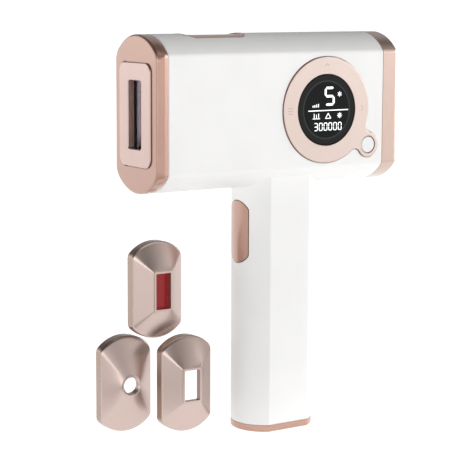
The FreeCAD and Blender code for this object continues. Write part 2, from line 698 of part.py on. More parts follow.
def make_leads():
    supply = []
    for y in (-1.5, 1.5):
        start = [V(-5.5, y, 10), V(LEAD_X, y, 10), V(LEAD_X, y, 73.5)]
        supply.append(lead(start + [V(HANDLE_BOARD_X + 0.8, y, 76), V(HANDLE_BOARD_X + 0.8, y, 78)], 0.7, 2.2))
    save(Part.makeCompound(supply), "supply_leads")
    lamp = []
    for side in (-1, 1):
        end_z = HEAD_Z + side * (LAMP_HALF + 2.0)
        route = [V(LAMP_X, 0, end_z), V(LAMP_X, 0, end_z + side * 3.2), V(LAMP_X, 6 + side, end_z + side * 3.2)]
        lamp.append(lead(route, 0.6, 1.8))
    save(Part.makeCompound(lamp), "lamp_leads")


# ---------------------------------------------------------------- loose heads

def loose_block(grow, y_from, y_to):
    """Arc-ended prism of a loose head's outline, about its own middle."""
    wire = bowed_profile(LOOSE_FLAT, LOOSE_BOW, LOOSE_HALF, grow, lambda u, v: V(v, y_from, u))
    block = extrude(wire, Y_AXIS, y_to - y_from)
    return block.makeFillet(LOOSE_CORNER_R + grow, edges_along(block, Y_AXIS))


def window_prism(half_w, half_h, corner_r, y_from, y_to):
    block = box((-half_w, half_w), (y_from, y_to), (-half_h, half_h))
    return block.makeFillet(corner_r, edges_along(block, Y_AXIS))


def octet_circle(radius, y):
    """Circle in eight arcs, wide ones facing the four sides and short ones between them."""
    stops = [-40, 40, 50, 130, 140, 220, 230, 310, 320]
    edges = []
    for low, high in zip(stops, stops[1:]):
        points = []
        for angle in (low, (low + high) / 2, high):
            turn = math.radians(angle)
            points.append(V(radius * math.cos(turn), y, radius * math.sin(turn)))
        edges.append(Part.Arc(*points).toShape())
    return Part.Wire(edges)


def loose_shape(name, grow):
    """Rim and four sloping sides of a loose head; its back is y = 0 and it faces -Y."""
    shoulder = -LOOSE_RIM - grow * 0.6
    front = -LOOSE_DEPTH - grow
    if grow == 0:
        front += LAND_RISE
    rim = loose_block(grow, shoulder, 0)
    if name == "round":
        top = octet_circle(ROUND_BEVEL_R + 0.6 + grow * 0.3, front)
    else:
        half_w, half_h = FRAMES[name]
        land = window_prism(half_w + grow * 0.3, half_h + grow * 0.3, 0.7, front, 0)
        top = wire_in_plane(land, Y_AXIS, front)
    slope = Part.makeLoft([wire_in_plane(rim, Y_AXIS, shoulder), top], True, True)
    return rim.fuse(slope)


def place_head(shape, name):
    x, y, z, turn = LOOSE_HEADS[name]
    shape.rotate(V(0, 0, 0), Z_AXIS, turn)
    shape.translate(V(x, y, z + LOOSE_FLAT + LOOSE_BOW))
    return shape


def make_head_cover(name):
    """Shell of a loose head, with a short collar behind its opening."""
    outer = loose_shape(name, 0)
    outer = outer.makeFillet(SHOULDER_R, edges_in_plane(outer, Y_AXIS, -LOOSE_RIM))
    cover = outer.cut(loose_shape(name, -LOOSE_WALL)).cut(loose_block(-LOOSE_WALL, -1, 1))
    front = -LOOSE_DEPTH
    if name == "round":
        land = cylinder(ROUND_BEVEL_R + 0.4, V(0, front, 0), Y_AXIS, LAND_RISE + 0.2)
        cover = cover.fuse(land)
        collar = cylinder(ROUND_HOLE_R + COLLAR_T, V(0, front + 0.7, 0), Y_AXIS, COLLAR_DEPTH - 0.7)
        hole = cylinder(ROUND_HOLE_R, V(0, front - 1, 0), Y_AXIS, 8)
        bevel = Part.makeCone(ROUND_BEVEL_R, ROUND_HOLE_R, 0.6, V(0, front, 0), Y_AXIS)
        cover = cover.fuse(collar).cut(hole).cut(bevel)
    else:
        half_w, half_h = FRAMES[name]
        cover = cover.fuse(window_prism(half_w - 0.1, half_h - 0.1, 0.6, front, front + LAND_RISE + 0.2))
        half_w, half_h = half_w - FRAME_LIP, half_h - FRAME_LIP
        back = front + COLLAR_DEPTH
        collar = window_prism(half_w + COLLAR_T, half_h + COLLAR_T, 1.0, front + 0.7, back)
        cover = cover.fuse(collar).cut(window_prism(half_w, half_h, 0.5, front - 1, back + 1))
    save(place_head(cover.removeSplitter(), name), name + "_head_cover")


def make_magnet_carrier(name):
    """Open frame pressed into the back of a loose head, with a magnet at each end."""
    plate = loose_block(-LOOSE_WALL - 0.08, -CARRIER_T, 0)
    opening = window_prism(CARRIER_HALF_W, CARRIER_HALF_H, 3.0, -CARRIER_T - 1, 1)
    save(place_head(plate.cut(opening), name), name + "_head_carrier")
    magnets = []
    for side in (-1, 1):
        start = V(0, -CARRIER_T - MAGNET_T, side * MAGNET_RISE)
        magnets.append(cylinder(MAGNET_R, start, Y_AXIS, MAGNET_T))
    save(place_head(Part.makeCompound(magnets), name), name + "_head_magnets")


def make_red_filter():
    """Filter glass bedded on the end of the red head's collar."""
    grow = COLLAR_T - 0.1 - FRAME_LIP
    half_w, half_h = FRAMES["red"][0] + grow, FRAMES["red"][1] + grow
    front = -LOOSE_DEPTH + COLLAR_DEPTH
    glass = box((-half_w, half_w), (front, front + FILTER_T), (-half_h, half_h))
    save(place_head(glass, "red"), "red_filter_glass")


make_shell_halves()
make_nose_cap()
make_rear_cap()
make_rear_grille()
make_foot_cap()
make_lens_plate()
make_plate_magnets()
make_window()
make_reflector()
make_lamp()
make_heat_sink()
make_fan()
make_control_ring()
make_display()
make_control_board()
make_power_button()
make_trigger()
make_trigger_switch()
make_top_button()
make_handle_parts()
make_leads()
make_red_filter()
for head_name in LOOSE_HEADS:
    make_head_cover(head_name)
    make_magnet_carrier(head_name)
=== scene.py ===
"""Looks for a hand-held IPL hair remover with three loose magnetic heads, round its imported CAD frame."""

import math

import bpy
from mathutils import Matrix, Vector


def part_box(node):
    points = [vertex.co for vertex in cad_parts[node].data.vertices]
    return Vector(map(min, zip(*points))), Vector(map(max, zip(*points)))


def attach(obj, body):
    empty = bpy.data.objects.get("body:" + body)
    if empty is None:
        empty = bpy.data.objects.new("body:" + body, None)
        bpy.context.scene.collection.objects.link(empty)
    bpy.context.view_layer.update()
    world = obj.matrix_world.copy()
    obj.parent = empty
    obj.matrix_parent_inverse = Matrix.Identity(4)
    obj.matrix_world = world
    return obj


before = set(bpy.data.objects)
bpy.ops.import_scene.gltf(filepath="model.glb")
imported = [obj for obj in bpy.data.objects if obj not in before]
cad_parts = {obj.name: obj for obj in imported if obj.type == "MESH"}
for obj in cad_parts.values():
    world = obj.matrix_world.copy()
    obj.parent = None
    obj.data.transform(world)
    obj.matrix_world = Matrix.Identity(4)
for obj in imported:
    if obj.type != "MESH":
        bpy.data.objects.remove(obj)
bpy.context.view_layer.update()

# ------------------------------------------------------------------ studio
# A long lens, left of the front and a little above the head, as a catalogue picture is taken.
# The object stands on a pale sheet in bright air, with soft light boxes on all sides of it.

MM = 0.001
CAMERA_AZIMUTH = math.radians(33.96)
CAMERA_ELEVATION = math.radians(8.08)
CAMERA_ROLL = math.radians(0.22)
CAMERA_DISTANCE = 771.75 * MM
LENS_MM = 132.4

aim = Vector((-27.06 * MM, 0, 98.52 * MM))
toward_camera = Vector(
    (
        -math.sin(CAMERA_AZIMUTH) * math.cos(CAMERA_ELEVATION),
        -math.cos(CAMERA_AZIMUTH) * math.cos(CAMERA_ELEVATION),
        math.sin(CAMERA_ELEVATION),
    )
)
lens = bpy.data.cameras.new("camera")
lens.lens = LENS_MM
lens.sensor_width = 36.0
lens.clip_start = 0.05
lens.clip_end = 50.0
camera = bpy.data.objects.new("camera", lens)
bpy.context.scene.collection.objects.link(camera)
camera.location = aim + toward_camera * CAMERA_DISTANCE
turn = (-toward_camera).to_track_quat("-Z", "Y")
camera.rotation_mode = "QUATERNION"
camera.rotation_quaternion = turn @ Matrix.Rotation(CAMERA_ROLL, 4, "Z").to_quaternion()
bpy.context.scene.camera = camera
bpy.context.scene.view_settings.view_transform = "Standard"

# The air is white level with the object and dark overhead.
world = bpy.data.worlds.new("studio_air")
bpy.context.scene.world = world
world.use_nodes = True
air = world.node_tree
air.nodes["Background"].inputs["Color"].default_value = (1, 1, 1, 1)
direction = air.nodes.new("ShaderNodeTexCoord")
split = air.nodes.new("ShaderNodeSeparateXYZ")
air.links.new(direction.outputs["Generated"], split.inputs["Vector"])
horizon = air.nodes.new("ShaderNodeMapRange")
horizon.interpolation_type = "SMOOTHSTEP"
horizon.inputs["From Min"].default_value = 0.10
horizon.inputs["From Max"].default_value = 0.33
horizon.inputs["To Min"].default_value = 1.05
horizon.inputs["To Max"].default_value = 0.04
air.links.new(split.outputs["Z"], horizon.inputs["Value"])


def add_glow(below, azimuth, elevation, strength, inner=12, outer=34):
    """Light box, as a soft-edged glow in the air; azimuth 0 faces the display and 90 the rear cap."""
    a, e = math.radians(azimuth), math.radians(elevation)
    near = air.nodes.new("ShaderNodeVectorMath")
    near.operation = "DOT_PRODUCT"
    near.inputs[1].default_value = (math.sin(a) * math.cos(e), -math.cos(a) * math.cos(e), math.sin(e))
    edge = air.nodes.new("ShaderNodeMapRange")
    edge.interpolation_type = "SMOOTHSTEP"
    edge.inputs["From Min"].default_value = math.cos(math.radians(outer))
    edge.inputs["From Max"].default_value = math.cos(math.radians(inner))
    edge.inputs["To Min"].default_value = 0.0
    edge.inputs["To Max"].default_value = strength
    added = air.nodes.new("ShaderNodeMath")
    added.operation = "ADD"
    air.links.new(direction.outputs["Generated"], near.inputs[0])
    air.links.new(near.outputs["Value"], edge.inputs["Value"])
    air.links.new(below, added.inputs[0])
    air.links.new(edge.outputs["Result"], added.inputs[1])
    return added.outputs["Value"]


camera_box = add_glow(horizon.outputs["Result"], -30, 6, 1.4)
window_side_box = add_glow(camera_box, -65, 6, 0.5)
display_side_box = add_glow(window_side_box, 40, 6, 0.4)
rear_cap_box = add_glow(display_side_box, 75, 6, 4.4)
high_box = add_glow(rear_cap_box, 52, 44, 0.5, 8, 26)
back_box = add_glow(high_box, -145, 6, 0.7)
high_back_box = add_glow(back_box, 150, 42, 0.4)
air.links.new(high_back_box, air.nodes["Background"].inputs["Strength"])

# The sheet glows: white behind the object and paler grey close in front of it, so its underside is shaded.
SHEET_HALF = 6.0
sheet_corners = [(x, y, 0) for x, y in ((-1, -1), (1, -1), (1, 1), (-1, 1))]
floor_mesh = bpy.data.meshes.new("floor")
floor_mesh.from_pydata([tuple(SHEET_HALF * c for c in p) for p in sheet_corners], [], [(0, 1, 2, 3)])
floor = bpy.data.objects.new("floor", floor_mesh)
bpy.context.scene.collection.objects.link(floor)
floor.location.z = -0.05 * MM
sheet = bpy.data.materials.new("pale_sheet")
sheet.use_nodes = True
sheet_nodes, sheet_links = sheet.node_tree.nodes, sheet.node_tree.links
sheet_shader = sheet_nodes["Principled BSDF"]
sheet_shader.inputs["Base Color"].default_value = (0.35, 0.35, 0.35, 1)
sheet_shader.inputs["Roughness"].default_value = 0.9
sheet_shader.inputs["Specular IOR Level"].default_value = 0.0
sheet_shader.inputs["Emission Color"].default_value = (1, 1, 1, 1)
spot = sheet_nodes.new("ShaderNodeTexCoord")
away = sheet_nodes.new("ShaderNodeVectorMath")
away.operation = "DOT_PRODUCT"
away.inputs[1].default_value = (-toward_camera.x, -toward_camera.y, 0)
behind = sheet_nodes.new("ShaderNodeMapRange")
behind.inputs["From Min"].default_value = -85 * MM
behind.inputs["From Max"].default_value = -60 * MM
behind.inputs["To Min"].default_value = 0.35
behind.inputs["To Max"].default_value = 1.0
reach = sheet_nodes.new("ShaderNodeVectorMath")
reach.operation = "LENGTH"
far = sheet_nodes.new("ShaderNodeMapRange")
far.interpolation_type = "SMOOTHSTEP"
far.inputs["From Min"].default_value = 80 * MM
far.inputs["From Max"].default_value = 200 * MM
far.inputs["To Min"].default_value = 0.0
far.inputs["To Max"].default_value = 0.76
brighter = sheet_nodes.new("ShaderNodeMath")
brighter.operation = "MAXIMUM"
sheet_links.new(spot.outputs["Object"], away.inputs[0])
sheet_links.new(spot.outputs["Object"], reach.inputs[0])
sheet_links.new(away.outputs["Value"], behind.inputs["Value"])
sheet_links.new(reach.outputs["Value"], far.inputs["Value"])
sheet_links.new(behind.outputs["Result"], brighter.inputs[0])
sheet_links.new(far.outputs["Result"], brighter.inputs[1])
sheet_links.new(brighter.outputs["Value"], sheet_shader.inputs["Emission Strength"])
floor_mesh.materials.append(sheet)

# ------------------------------------------------------------------ white shell
# Two halves of moulded ABS, joined round the T by pressed pegs. The outside has a fine satin spark finish,
# and the air intake is a row of slots in the rear half.


def new_material(name):
    material = bpy.data.materials.new(name)
    material.use_nodes = True
    tree = material.node_tree
    return material, tree.nodes, tree.links, tree.nodes["Principled BSDF"]


def object_noise(nodes, links, scale, detail, stretch=(1, 1, 1)):
    """Noise through the solid itself; stretch above 1 makes it finer along that axis."""
    place = nodes.new("ShaderNodeTexCoord")
    mapping = nodes.new("ShaderNodeMapping")
    mapping.inputs["Scale"].default_value = stretch
    noise = nodes.new("ShaderNodeTexNoise")
    noise.inputs["Scale"].default_value = scale
    noise.inputs["Detail"].default_value = detail
    links.new(place.outputs["Object"], mapping.inputs["Vector"])
    links.new(mapping.outputs["Vector"], noise.inputs["Vector"])
    return noise


def add_grain(nodes, links, shader, scale, height, roughness, spread, stretch=(1, 1, 1)):
    """Fine surface grain: a bump, and a small spread of roughness about its mean."""
    noise = object_noise(nodes, links, scale, 3.0, stretch)
    bump = nodes.new("ShaderNodeBump")
    bump.inputs["Strength"].default_value = 0.35
    bump.inputs["Distance"].default_value = height
    links.new(noise.outputs["Fac"], bump.inputs["Height"])
    links.new(bump.outputs["Normal"], shader.inputs["Normal"])
    band = nodes.new("ShaderNodeMapRange")
    band.inputs["To Min"].default_value = roughness - spread
    band.inputs["To Max"].default_value = roughness + spread
    links.new(noise.outputs["Fac"], band.inputs["Value"])
    links.new(band.outputs["Result"], shader.inputs["Roughness"])


def add_tone(nodes, links, shader, light, dark, scale, stretch=(1, 1, 1)):
    """Slow drift between two close tones of one colour."""
    cloud = object_noise(nodes, links, scale, 2.0, stretch)
    ramp = nodes.new("ShaderNodeValToRGB")
    ramp.color_ramp.elements[0].position = 0.35
    ramp.color_ramp.elements[0].color = (*dark, 1)
    ramp.color_ramp.elements[1].position = 0.65
    ramp.color_ramp.elements[1].color = (*light, 1)
    links.new(cloud.outputs["Fac"], ramp.inputs["Fac"])
    links.new(ramp.outputs["Color"], shader.inputs["Base Color"])
    return ramp


def plastic(name, light, dark, roughness, grain=2600.0, height=0.00002, specular=0.5, coat=0.0):
    material, nodes, links, shader = new_material(name)
    add_tone(nodes, links, shader, light, dark, 40.0)
    add_grain(nodes, links, shader, grain, height, roughness, 0.05)
    shader.inputs["Specular IOR Level"].default_value = specular
    shader.inputs["Coat Weight"].default_value = coat
    shader.inputs["Coat Roughness"].default_value = 0.2
    return material


def paint(material, *nodes):
    """Gives CAD nodes this material."""
    for node in nodes:
        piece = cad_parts[node]
        piece.data.materials.clear()
        piece.data.materials.append(material)


shell_white = plastic("satin_white_shell", (0.92, 0.915, 0.905), (0.895, 0.89, 0.88), 0.42)
paint(shell_white, "front_shell", "rear_shell")

# ------------------------------------------------------------------ nose cap
# Die-cast cap, lacquered rose gold over a fine blast. A spigot plugs it into the shell, and a narrow bevel
# runs round it at the seam.


def lacquered_metal(name, light, dark, roughness, metallic, coat=1.0, stretch=(1, 1, 1), height=0.000012):
    """Tinted lacquer over metal: a fine grain under a clear coat."""
    material, nodes, links, shader = new_material(name)
    add_tone(nodes, links, shader, light, dark, 60.0, stretch)
    add_grain(nodes, links, shader, 3200.0, height, roughness, 0.05, stretch)
    shader.inputs["Metallic"].default_value = metallic
    shader.inputs["Coat Weight"].default_value = coat
    shader.inputs["Coat Roughness"].default_value = 0.22
    shader.inputs["Coat IOR"].default_value = 1.9
    return material


rose_gold = lacquered_metal("rose_gold_lacquer", (0.47, 0.25, 0.18), (0.45, 0.235, 0.168), 0.34, 0.75)
paint(rose_gold, "nose_cap")

# ------------------------------------------------------------------ lens plate
# Stamped plate round the window, in paler rose gold. It sits in a recess of the cap, on two disc magnets
# that also hold a loose head.

pale_rose = lacquered_metal("pale_rose_lacquer", (0.60, 0.415, 0.36), (0.58, 0.40, 0.345), 0.36, 0.8)
paint(pale_rose, "lens_plate")


def bare_metal(name, light, dark, roughness, stretch=(1, 1, 1), grain=1800.0):
    material, nodes, links, shader = new_material(name)
    add_tone(nodes, links, shader, light, dark, 90.0, stretch)
    add_grain(nodes, links, shader, grain, 0.00001, roughness, 0.06, stretch)
    shader.inputs["Metallic"].default_value = 1.0
    return material


nickel = bare_metal("nickel_plate", (0.66, 0.65, 0.63), (0.58, 0.57, 0.55), 0.22)
paint(nickel, "plate_magnets")

# ------------------------------------------------------------------ window
# A flat filter glass, ground and polished, pressed against a rubber frame behind the opening.


def clear_glass(name, tint, roughness, transmission=1.0):
    material, nodes, links, shader = new_material(name)
    add_tone(nodes, links, shader, tint, tuple(c * 0.97 for c in tint), 120.0)
    add_grain(nodes, links, shader, 900.0, 0.000002, roughness, 0.01)
    shader.inputs["Transmission Weight"].default_value = transmission
    shader.inputs["IOR"].default_value = 1.46
    return material


filter_glass = clear_glass("filter_glass", (0.82, 0.80, 0.84), 0.02)
paint(filter_glass, "window_glass")
rubber = plastic("black_rubber", (0.018, 0.018, 0.018), (0.012, 0.012, 0.012), 0.65, 1400.0, 0.00004, 0.3)
paint(rubber, "window_seal")

# ------------------------------------------------------------------ lamp and reflector
# A xenon flash tube in two ceramic blocks, in a trough of polished aluminium strip. The trough's back is
# bolted to a finned heat sink, and a small coil fires the tube.

mirror = bare_metal("polished_strip", (0.88, 0.87, 0.89), (0.80, 0.79, 0.82), 0.12, (1, 1, 14), 500.0)
paint(mirror, "reflector")
quartz = clear_glass("quartz_tube", (0.92, 0.93, 0.95), 0.04)
paint(quartz, "flash_lamp")
paint(nickel, "lamp_electrodes")
ceramic = plastic("ivory_ceramic", (0.78, 0.75, 0.68), (0.70, 0.67, 0.60), 0.5, 1500.0, 0.00003)
paint(ceramic, "lamp_holders")
extruded = bare_metal("extruded_aluminium", (0.72, 0.73, 0.75), (0.62, 0.63, 0.65), 0.32, (1, 1, 30), 260.0)
paint(extruded, "lamp_heat_sink")
red_silicone = plastic("red_silicone", (0.50, 0.03, 0.03), (0.42, 0.02, 0.02), 0.55, 900.0, 0.00003)
paint(red_silicone, "lamp_leads")


def wound_wire(name, light, dark, turns_per_metre):
    """Enamelled wire wound side by side along X."""
    material, nodes, links, shader = new_material(name)
    place = nodes.new("ShaderNodeTexCoord")
    wave = nodes.new("ShaderNodeTexWave")
    wave.bands_direction = "X"
    wave.inputs["Scale"].default_value = turns_per_metre / 3.18
    wave.inputs["Distortion"].default_value = 0.4
    links.new(place.outputs["Object"], wave.inputs["Vector"])
    ramp = nodes.new("ShaderNodeValToRGB")
    ramp.color_ramp.elements[0].color = (*dark, 1)
    ramp.color_ramp.elements[1].color = (*light, 1)
    links.new(wave.outputs["Fac"], ramp.inputs["Fac"])
    links.new(ramp.outputs["Color"], shader.inputs["Base Color"])
    bump = nodes.new("ShaderNodeBump")
    bump.inputs["Distance"].default_value = 0.00015
    links.new(wave.outputs["Fac"], bump.inputs["Height"])
    links.new(bump.outputs["Normal"], shader.inputs["Normal"])
    shader.inputs["Metallic"].default_value = 0.8
    shader.inputs["Roughness"].default_value = 0.35
    return material


copper = wound_wire("enamelled_copper", (0.62, 0.28, 0.12), (0.30, 0.11, 0.05), 2500.0)
paint(copper, "trigger_coil")

# ------------------------------------------------------------------ rear cap
# The same casting and lacquer as the nose, with seven outlet slots and a fine black mesh behind them.

# Painted reflection: this lacquer is paler than the nose's because a light box's sheen is put into its
# colour.
sheen_painted_rose = lacquered_metal("rose_gold_lacquer_painted_sheen", (0.61, 0.435, 0.36), (0.59, 0.42, 0.345), 0.32, 0.75)
paint(sheen_painted_rose, "rear_cap")
matt_black = plastic(
    "matt_black_plastic", (0.028, 0.028, 0.03), (0.02, 0.02, 0.022), 0.5, 2200.0, 0.00003, 0.4
)
paint(matt_black, "rear_grille")

# ------------------------------------------------------------------ fan
# A 25 mm axial fan, screwed behind the rear cap. It draws air over the heat sink and out of the slots.

fan_black = plastic("fan_black_plastic", (0.035, 0.035, 0.037), (0.026, 0.026, 0.028), 0.38, 1600.0, 0.00003)
paint(fan_black, "fan_frame", "fan_rotor")

# ------------------------------------------------------------------ control ring
# Pressed ring in pale rose lacquer, glued into a shallow seat of the shell. Its edge and the walls of its
# hole are painted dark brown, as shade. Three key marks are etched in it: bars on the left, a chevron on top
# and one on the right.

ring_rose = lacquered_metal("pale_rose_ring", (0.68, 0.54, 0.48), (0.66, 0.525, 0.465), 0.38, 0.7)
paint(ring_rose, "control_ring")


def paint_sides(node, material, across, facing=0.9):
    """A second material on the faces of a CAD node that look less than this much along an axis."""
    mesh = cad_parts[node].data
    mesh.materials.append(material)
    for face in mesh.polygons:
        if abs(face.normal[across]) < facing:
            face.material_index = len(mesh.materials) - 1


# Painted shade: every face of the ring that doesn't face front or back is painted dark brown.
ring_edge_shade = lacquered_metal("ring_edge_painted_shade", (0.36, 0.19, 0.13), (0.32, 0.165, 0.11), 0.3, 0.7)
paint_sides("control_ring", ring_edge_shade, 1)


def link_to(parent_body, name, mesh, material):
    """A new piece that rides on a body, with its material."""
    piece = bpy.data.objects.new(name, mesh)
    bpy.context.scene.collection.objects.link(piece)
    mesh.materials.append(material)
    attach(piece, parent_body)
    return piece


def raised_marks(name, outlines, centre, front_y, height):
    """Thin plates on a front face; each outline is (x, z) points in millimetres round the centre."""
    points, faces = [], []
    for outline in outlines:
        first = len(points)
        count = len(outline)
        for y in (front_y, front_y - height * MM):
            points += [(centre.x + x * MM, y, centre.z + z * MM) for x, z in outline]
        faces.append(list(range(first, first + count)))
        faces.append(list(range(first + 2 * count - 1, first + count - 1, -1)))
        for k in range(count):
            after = (k + 1) % count
            faces.append([first + k, first + count + k, first + count + after, first + after])
    mesh = bpy.data.meshes.new(name)
    mesh.from_pydata(points, [], faces)
    mesh.validate()
    return mesh


def bar(x1, z1, x2, z2, width, point=0.0):
    """Outline of a straight bar; point is how far its pointed ends reach."""
    along = Vector((x2 - x1, z2 - z1)).normalized()
    aside = Vector((-along.y, along.x)) * width / 2
    start, end = Vector((x1, z1)), Vector((x2, z2))
    corners = [start + aside, start - aside, end - aside, end + aside]
    if point:
        corners.insert(1, start - along * point)
        corners.insert(4, end + along * point)
    return [tuple(c) for c in corners]


ring_low, ring_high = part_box("control_ring")
lens_low, lens_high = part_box("display_lens")
dial = Vector(((lens_low.x + lens_high.x) / 2, 0, (lens_low.z + lens_high.z) / 2))
MARK_RADIUS = 21.0
MARK_WIDTH = 0.34
marks = [bar(-MARK_RADIUS - 1.4, z, -MARK_RADIUS + 1.4, z, MARK_WIDTH) for z in (-1.3, 0, 1.3)]
marks += [
    bar(-1.3, MARK_RADIUS - 0.6, 0, MARK_RADIUS + 0.6, MARK_WIDTH),
    bar(0, MARK_RADIUS + 0.6, 1.3, MARK_RADIUS - 0.6, MARK_WIDTH),
    bar(MARK_RADIUS - 0.6, 1.3, MARK_RADIUS + 0.6, 0, MARK_WIDTH),
    bar(MARK_RADIUS + 0.6, 0, MARK_RADIUS - 0.6, -1.3, MARK_WIDTH),
]
etched = lacquered_metal("etched_marks", (0.47, 0.34, 0.28), (0.43, 0.31, 0.25), 0.45, 0.5, 0.0)
marks_mesh = raised_marks("ring_marks", marks, dial, ring_low.y, 0.03)
link_to("handset", "ring_marks", marks_mesh, etched)

# ------------------------------------------------------------------ display
# Smoked lens over a round LED module. The lens has a grey printed border, and lit digits show the level
# and the number of flashes left, with small signs for the mode between them.

LENS_BORDER_R = 13.4


def smoked_lens():
    """Black acrylic; rings of print lie under it, by distance from the middle of the dial."""
    material, nodes, links, shader = new_material("smoked_lens")
    place = nodes.new("ShaderNodeTexCoord")
    offset = nodes.new("ShaderNodeVectorMath")
    offset.operation = "SUBTRACT"
    offset.inputs[1].default_value = dial
    flat = nodes.new("ShaderNodeVectorMath")
    flat.operation = "MULTIPLY"
    flat.inputs[1].default_value = (1, 0, 1)
    reach = nodes.new("ShaderNodeVectorMath")
    reach.operation = "LENGTH"
    span = nodes.new("ShaderNodeMapRange")
    span.inputs["From Max"].default_value = (lens_high.x - lens_low.x) / 2
    ramp = nodes.new("ShaderNodeValToRGB")
    outer = (lens_high.x - lens_low.x) / 2 / MM
    stops = [
        (0.0, (0.0085, 0.009, 0.009)),
        ((LENS_BORDER_R - 0.5) / outer, (0.0085, 0.009, 0.009)),
        ((LENS_BORDER_R - 0.1) / outer, (0.040, 0.041, 0.042)),
        ((LENS_BORDER_R + 0.2) / outer, (0.040, 0.041, 0.042)),
        ((LENS_BORDER_R + 0.6) / outer, (0.018, 0.018, 0.019)),
        ((outer - 0.9) / outer, (0.018, 0.018, 0.019)),
        ((outer - 0.3) / outer, (0.006, 0.005, 0.005)),
    ]
    ramp.color_ramp.elements[0].position = stops[0][0]
    ramp.color_ramp.elements[0].color = (*stops[0][1], 1)
    ramp.color_ramp.elements[1].position = stops[-1][0]
    ramp.color_ramp.elements[1].color = (*stops[-1][1], 1)
    for position, colour in stops[1:-1]:
        ramp.color_ramp.elements.new(position).color = (*colour, 1)
    links.new(place.outputs["Object"], offset.inputs[0])
    links.new(offset.outputs["Vector"], flat.inputs[0])
    links.new(flat.outputs["Vector"], reach.inputs[0])
    links.new(reach.outputs["Value"], span.inputs["Value"])
    links.new(span.outputs["Result"], ramp.inputs["Fac"])
    links.new(ramp.outputs["Color"], shader.inputs["Base Color"])
    add_grain(nodes, links, shader, 1800.0, 0.000002, 0.16, 0.03)
    shader.inputs["Specular IOR Level"].default_value = 0.12
    return material


paint(smoked_lens(), "display_lens")
paint(matt_black, "display_module")

SEGMENTS = {"0": "abcdef", "3": "abcdg", "5": "acdfg"}


def digit(sign, x, z, width, height, stroke):
    """Seven-segment digit with its lower left corner at x, z."""
    gap = stroke * 0.12
    left, right = x + stroke / 2, x + width - stroke / 2
    low, high = z + stroke / 2, z + height - stroke / 2
    middle = (low + high) / 2
    inset = stroke / 2 + gap
    ends = {
        "a": (left + inset, high, right - inset, high),
        "b": (right, middle + inset, right, high - inset),
        "c": (right, low + inset, right, middle - inset),
        "d": (left + inset, low, right - inset, low),
        "e": (left, low + inset, left, middle - inset),
        "f": (left, middle + inset, left, high - inset),
        "g": (left + inset, middle, right - inset, middle),
    }
    return [bar(*ends[name], stroke, stroke / 2) for name in SEGMENTS[sign]]


def crossing_bars(x, z, length, width, count):
    """Star of bars that cross at one point."""
    star = []
    for k in range(count):
        turn_by = math.pi * k / count
        dx, dz = math.sin(turn_by) * length / 2, math.cos(turn_by) * length / 2
        star.append(bar(x - dx, z - dz, x + dx, z + dz, width))
    return star


LIT_HEIGHT = 0.04
lit = digit("5", -1.3, 1.9, 5.9, 8.9, 1.15)
lit += crossing_bars(7.5, 7.2, 2.5, 0.4, 3)
lit += [bar(-8.0 + 1.05 * k, 1.35, -8.0 + 1.05 * k, 2.2 + 0.25 * k, 0.5) for k in range(4)]
lit.append(bar(-10.7, -0.25, 12.6, -0.25, 0.45))
for k, place in enumerate((-7.3, -6.0, -4.7)):
    lit.append(bar(place, -3.7, place, -1.6 - 0.45 * (k % 2), 0.4))
lit.append(bar(-8.1, -4.0, -3.9, -4.0, 0.35))
lit += [bar(-0.7, -4.0, 0.9, -1.6, 0.4), bar(0.9, -1.6, 2.5, -4.0, 0.4), bar(-0.5, -4.0, 2.3, -4.0, 0.35)]
lit += crossing_bars(7.6, -2.8, 2.7, 0.34, 4)
DIGIT_STEP = 2.8
for k, sign in enumerate("300000"):
    lit += digit(sign, -7.3 + DIGIT_STEP * k, -9.7, 2.2, 3.8, 0.42)


def lit_white():
    material, nodes, links, shader = new_material("lit_segments")
    add_tone(nodes, links, shader, (0.95, 0.97, 1.0), (0.85, 0.87, 0.9), 700.0)
    add_grain(nodes, links, shader, 2000.0, 0.000003, 0.3, 0.05)
    shader.inputs["Emission Color"].default_value = (0.95, 0.98, 1.0, 1)
    shader.inputs["Emission Strength"].default_value = 0.75
    return material


lit_mesh = raised_marks("display_digits", lit, dial, lens_low.y, LIT_HEIGHT)
link_to("handset", "display_digits", lit_mesh, lit_white())

# ------------------------------------------------------------------ power button
# Domed white key in the lobe of the ring. A collar behind the shell keeps it in, over a small click switch.

key_white = plastic(
    "gloss_white_key", (0.88, 0.88, 0.875), (0.86, 0.86, 0.855), 0.3, 2600.0, 0.00001, 0.5, 0.3
)
paint(key_white, "power_button")
paint(matt_black, "power_switch")

# ------------------------------------------------------------------ circuit boards
# Green glass-fibre boards: a control board on four posts, and small ones behind each key. Chips are black,
# and the screws are nickel-plated with cross slots.


def solder_mask():
    """Green lacquer over copper tracks, which show as straight paler lines."""
    material, nodes, links, shader = new_material("green_board")
    place = nodes.new("ShaderNodeTexCoord")
    bricks = nodes.new("ShaderNodeTexBrick")
    bricks.inputs["Scale"].default_value = 240.0
    bricks.inputs["Mortar Size"].default_value = 0.06
    bricks.inputs["Color1"].default_value = (0.012, 0.105, 0.04, 1)
    bricks.inputs["Color2"].default_value = (0.010, 0.085, 0.033, 1)
    bricks.inputs["Mortar"].default_value = (0.05, 0.24, 0.10, 1)
    turned = nodes.new("ShaderNodeMapping")
    turned.inputs["Rotation"].default_value = (math.pi / 2, 0, 0)
    links.new(place.outputs["Object"], turned.inputs["Vector"])
    links.new(turned.outputs["Vector"], bricks.inputs["Vector"])
    links.new(bricks.outputs["Color"], shader.inputs["Base Color"])
    add_grain(nodes, links, shader, 1500.0, 0.00001, 0.32, 0.06)
    return material


green_board = solder_mask()
paint(green_board, "control_board", "power_board", "handle_board", "top_board")
chip_black = plastic("chip_black", (0.022, 0.022, 0.024), (0.016, 0.016, 0.018), 0.55, 1800.0, 0.00002, 0.35)


def paint_where(node, material, chosen):
    """A second material on the faces of a CAD node whose middle is chosen."""
    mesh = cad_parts[node].data
    mesh.materials.append(material)
    for face in mesh.polygons:
        if chosen(face.center):
            face.material_index = len(mesh.materials) - 1


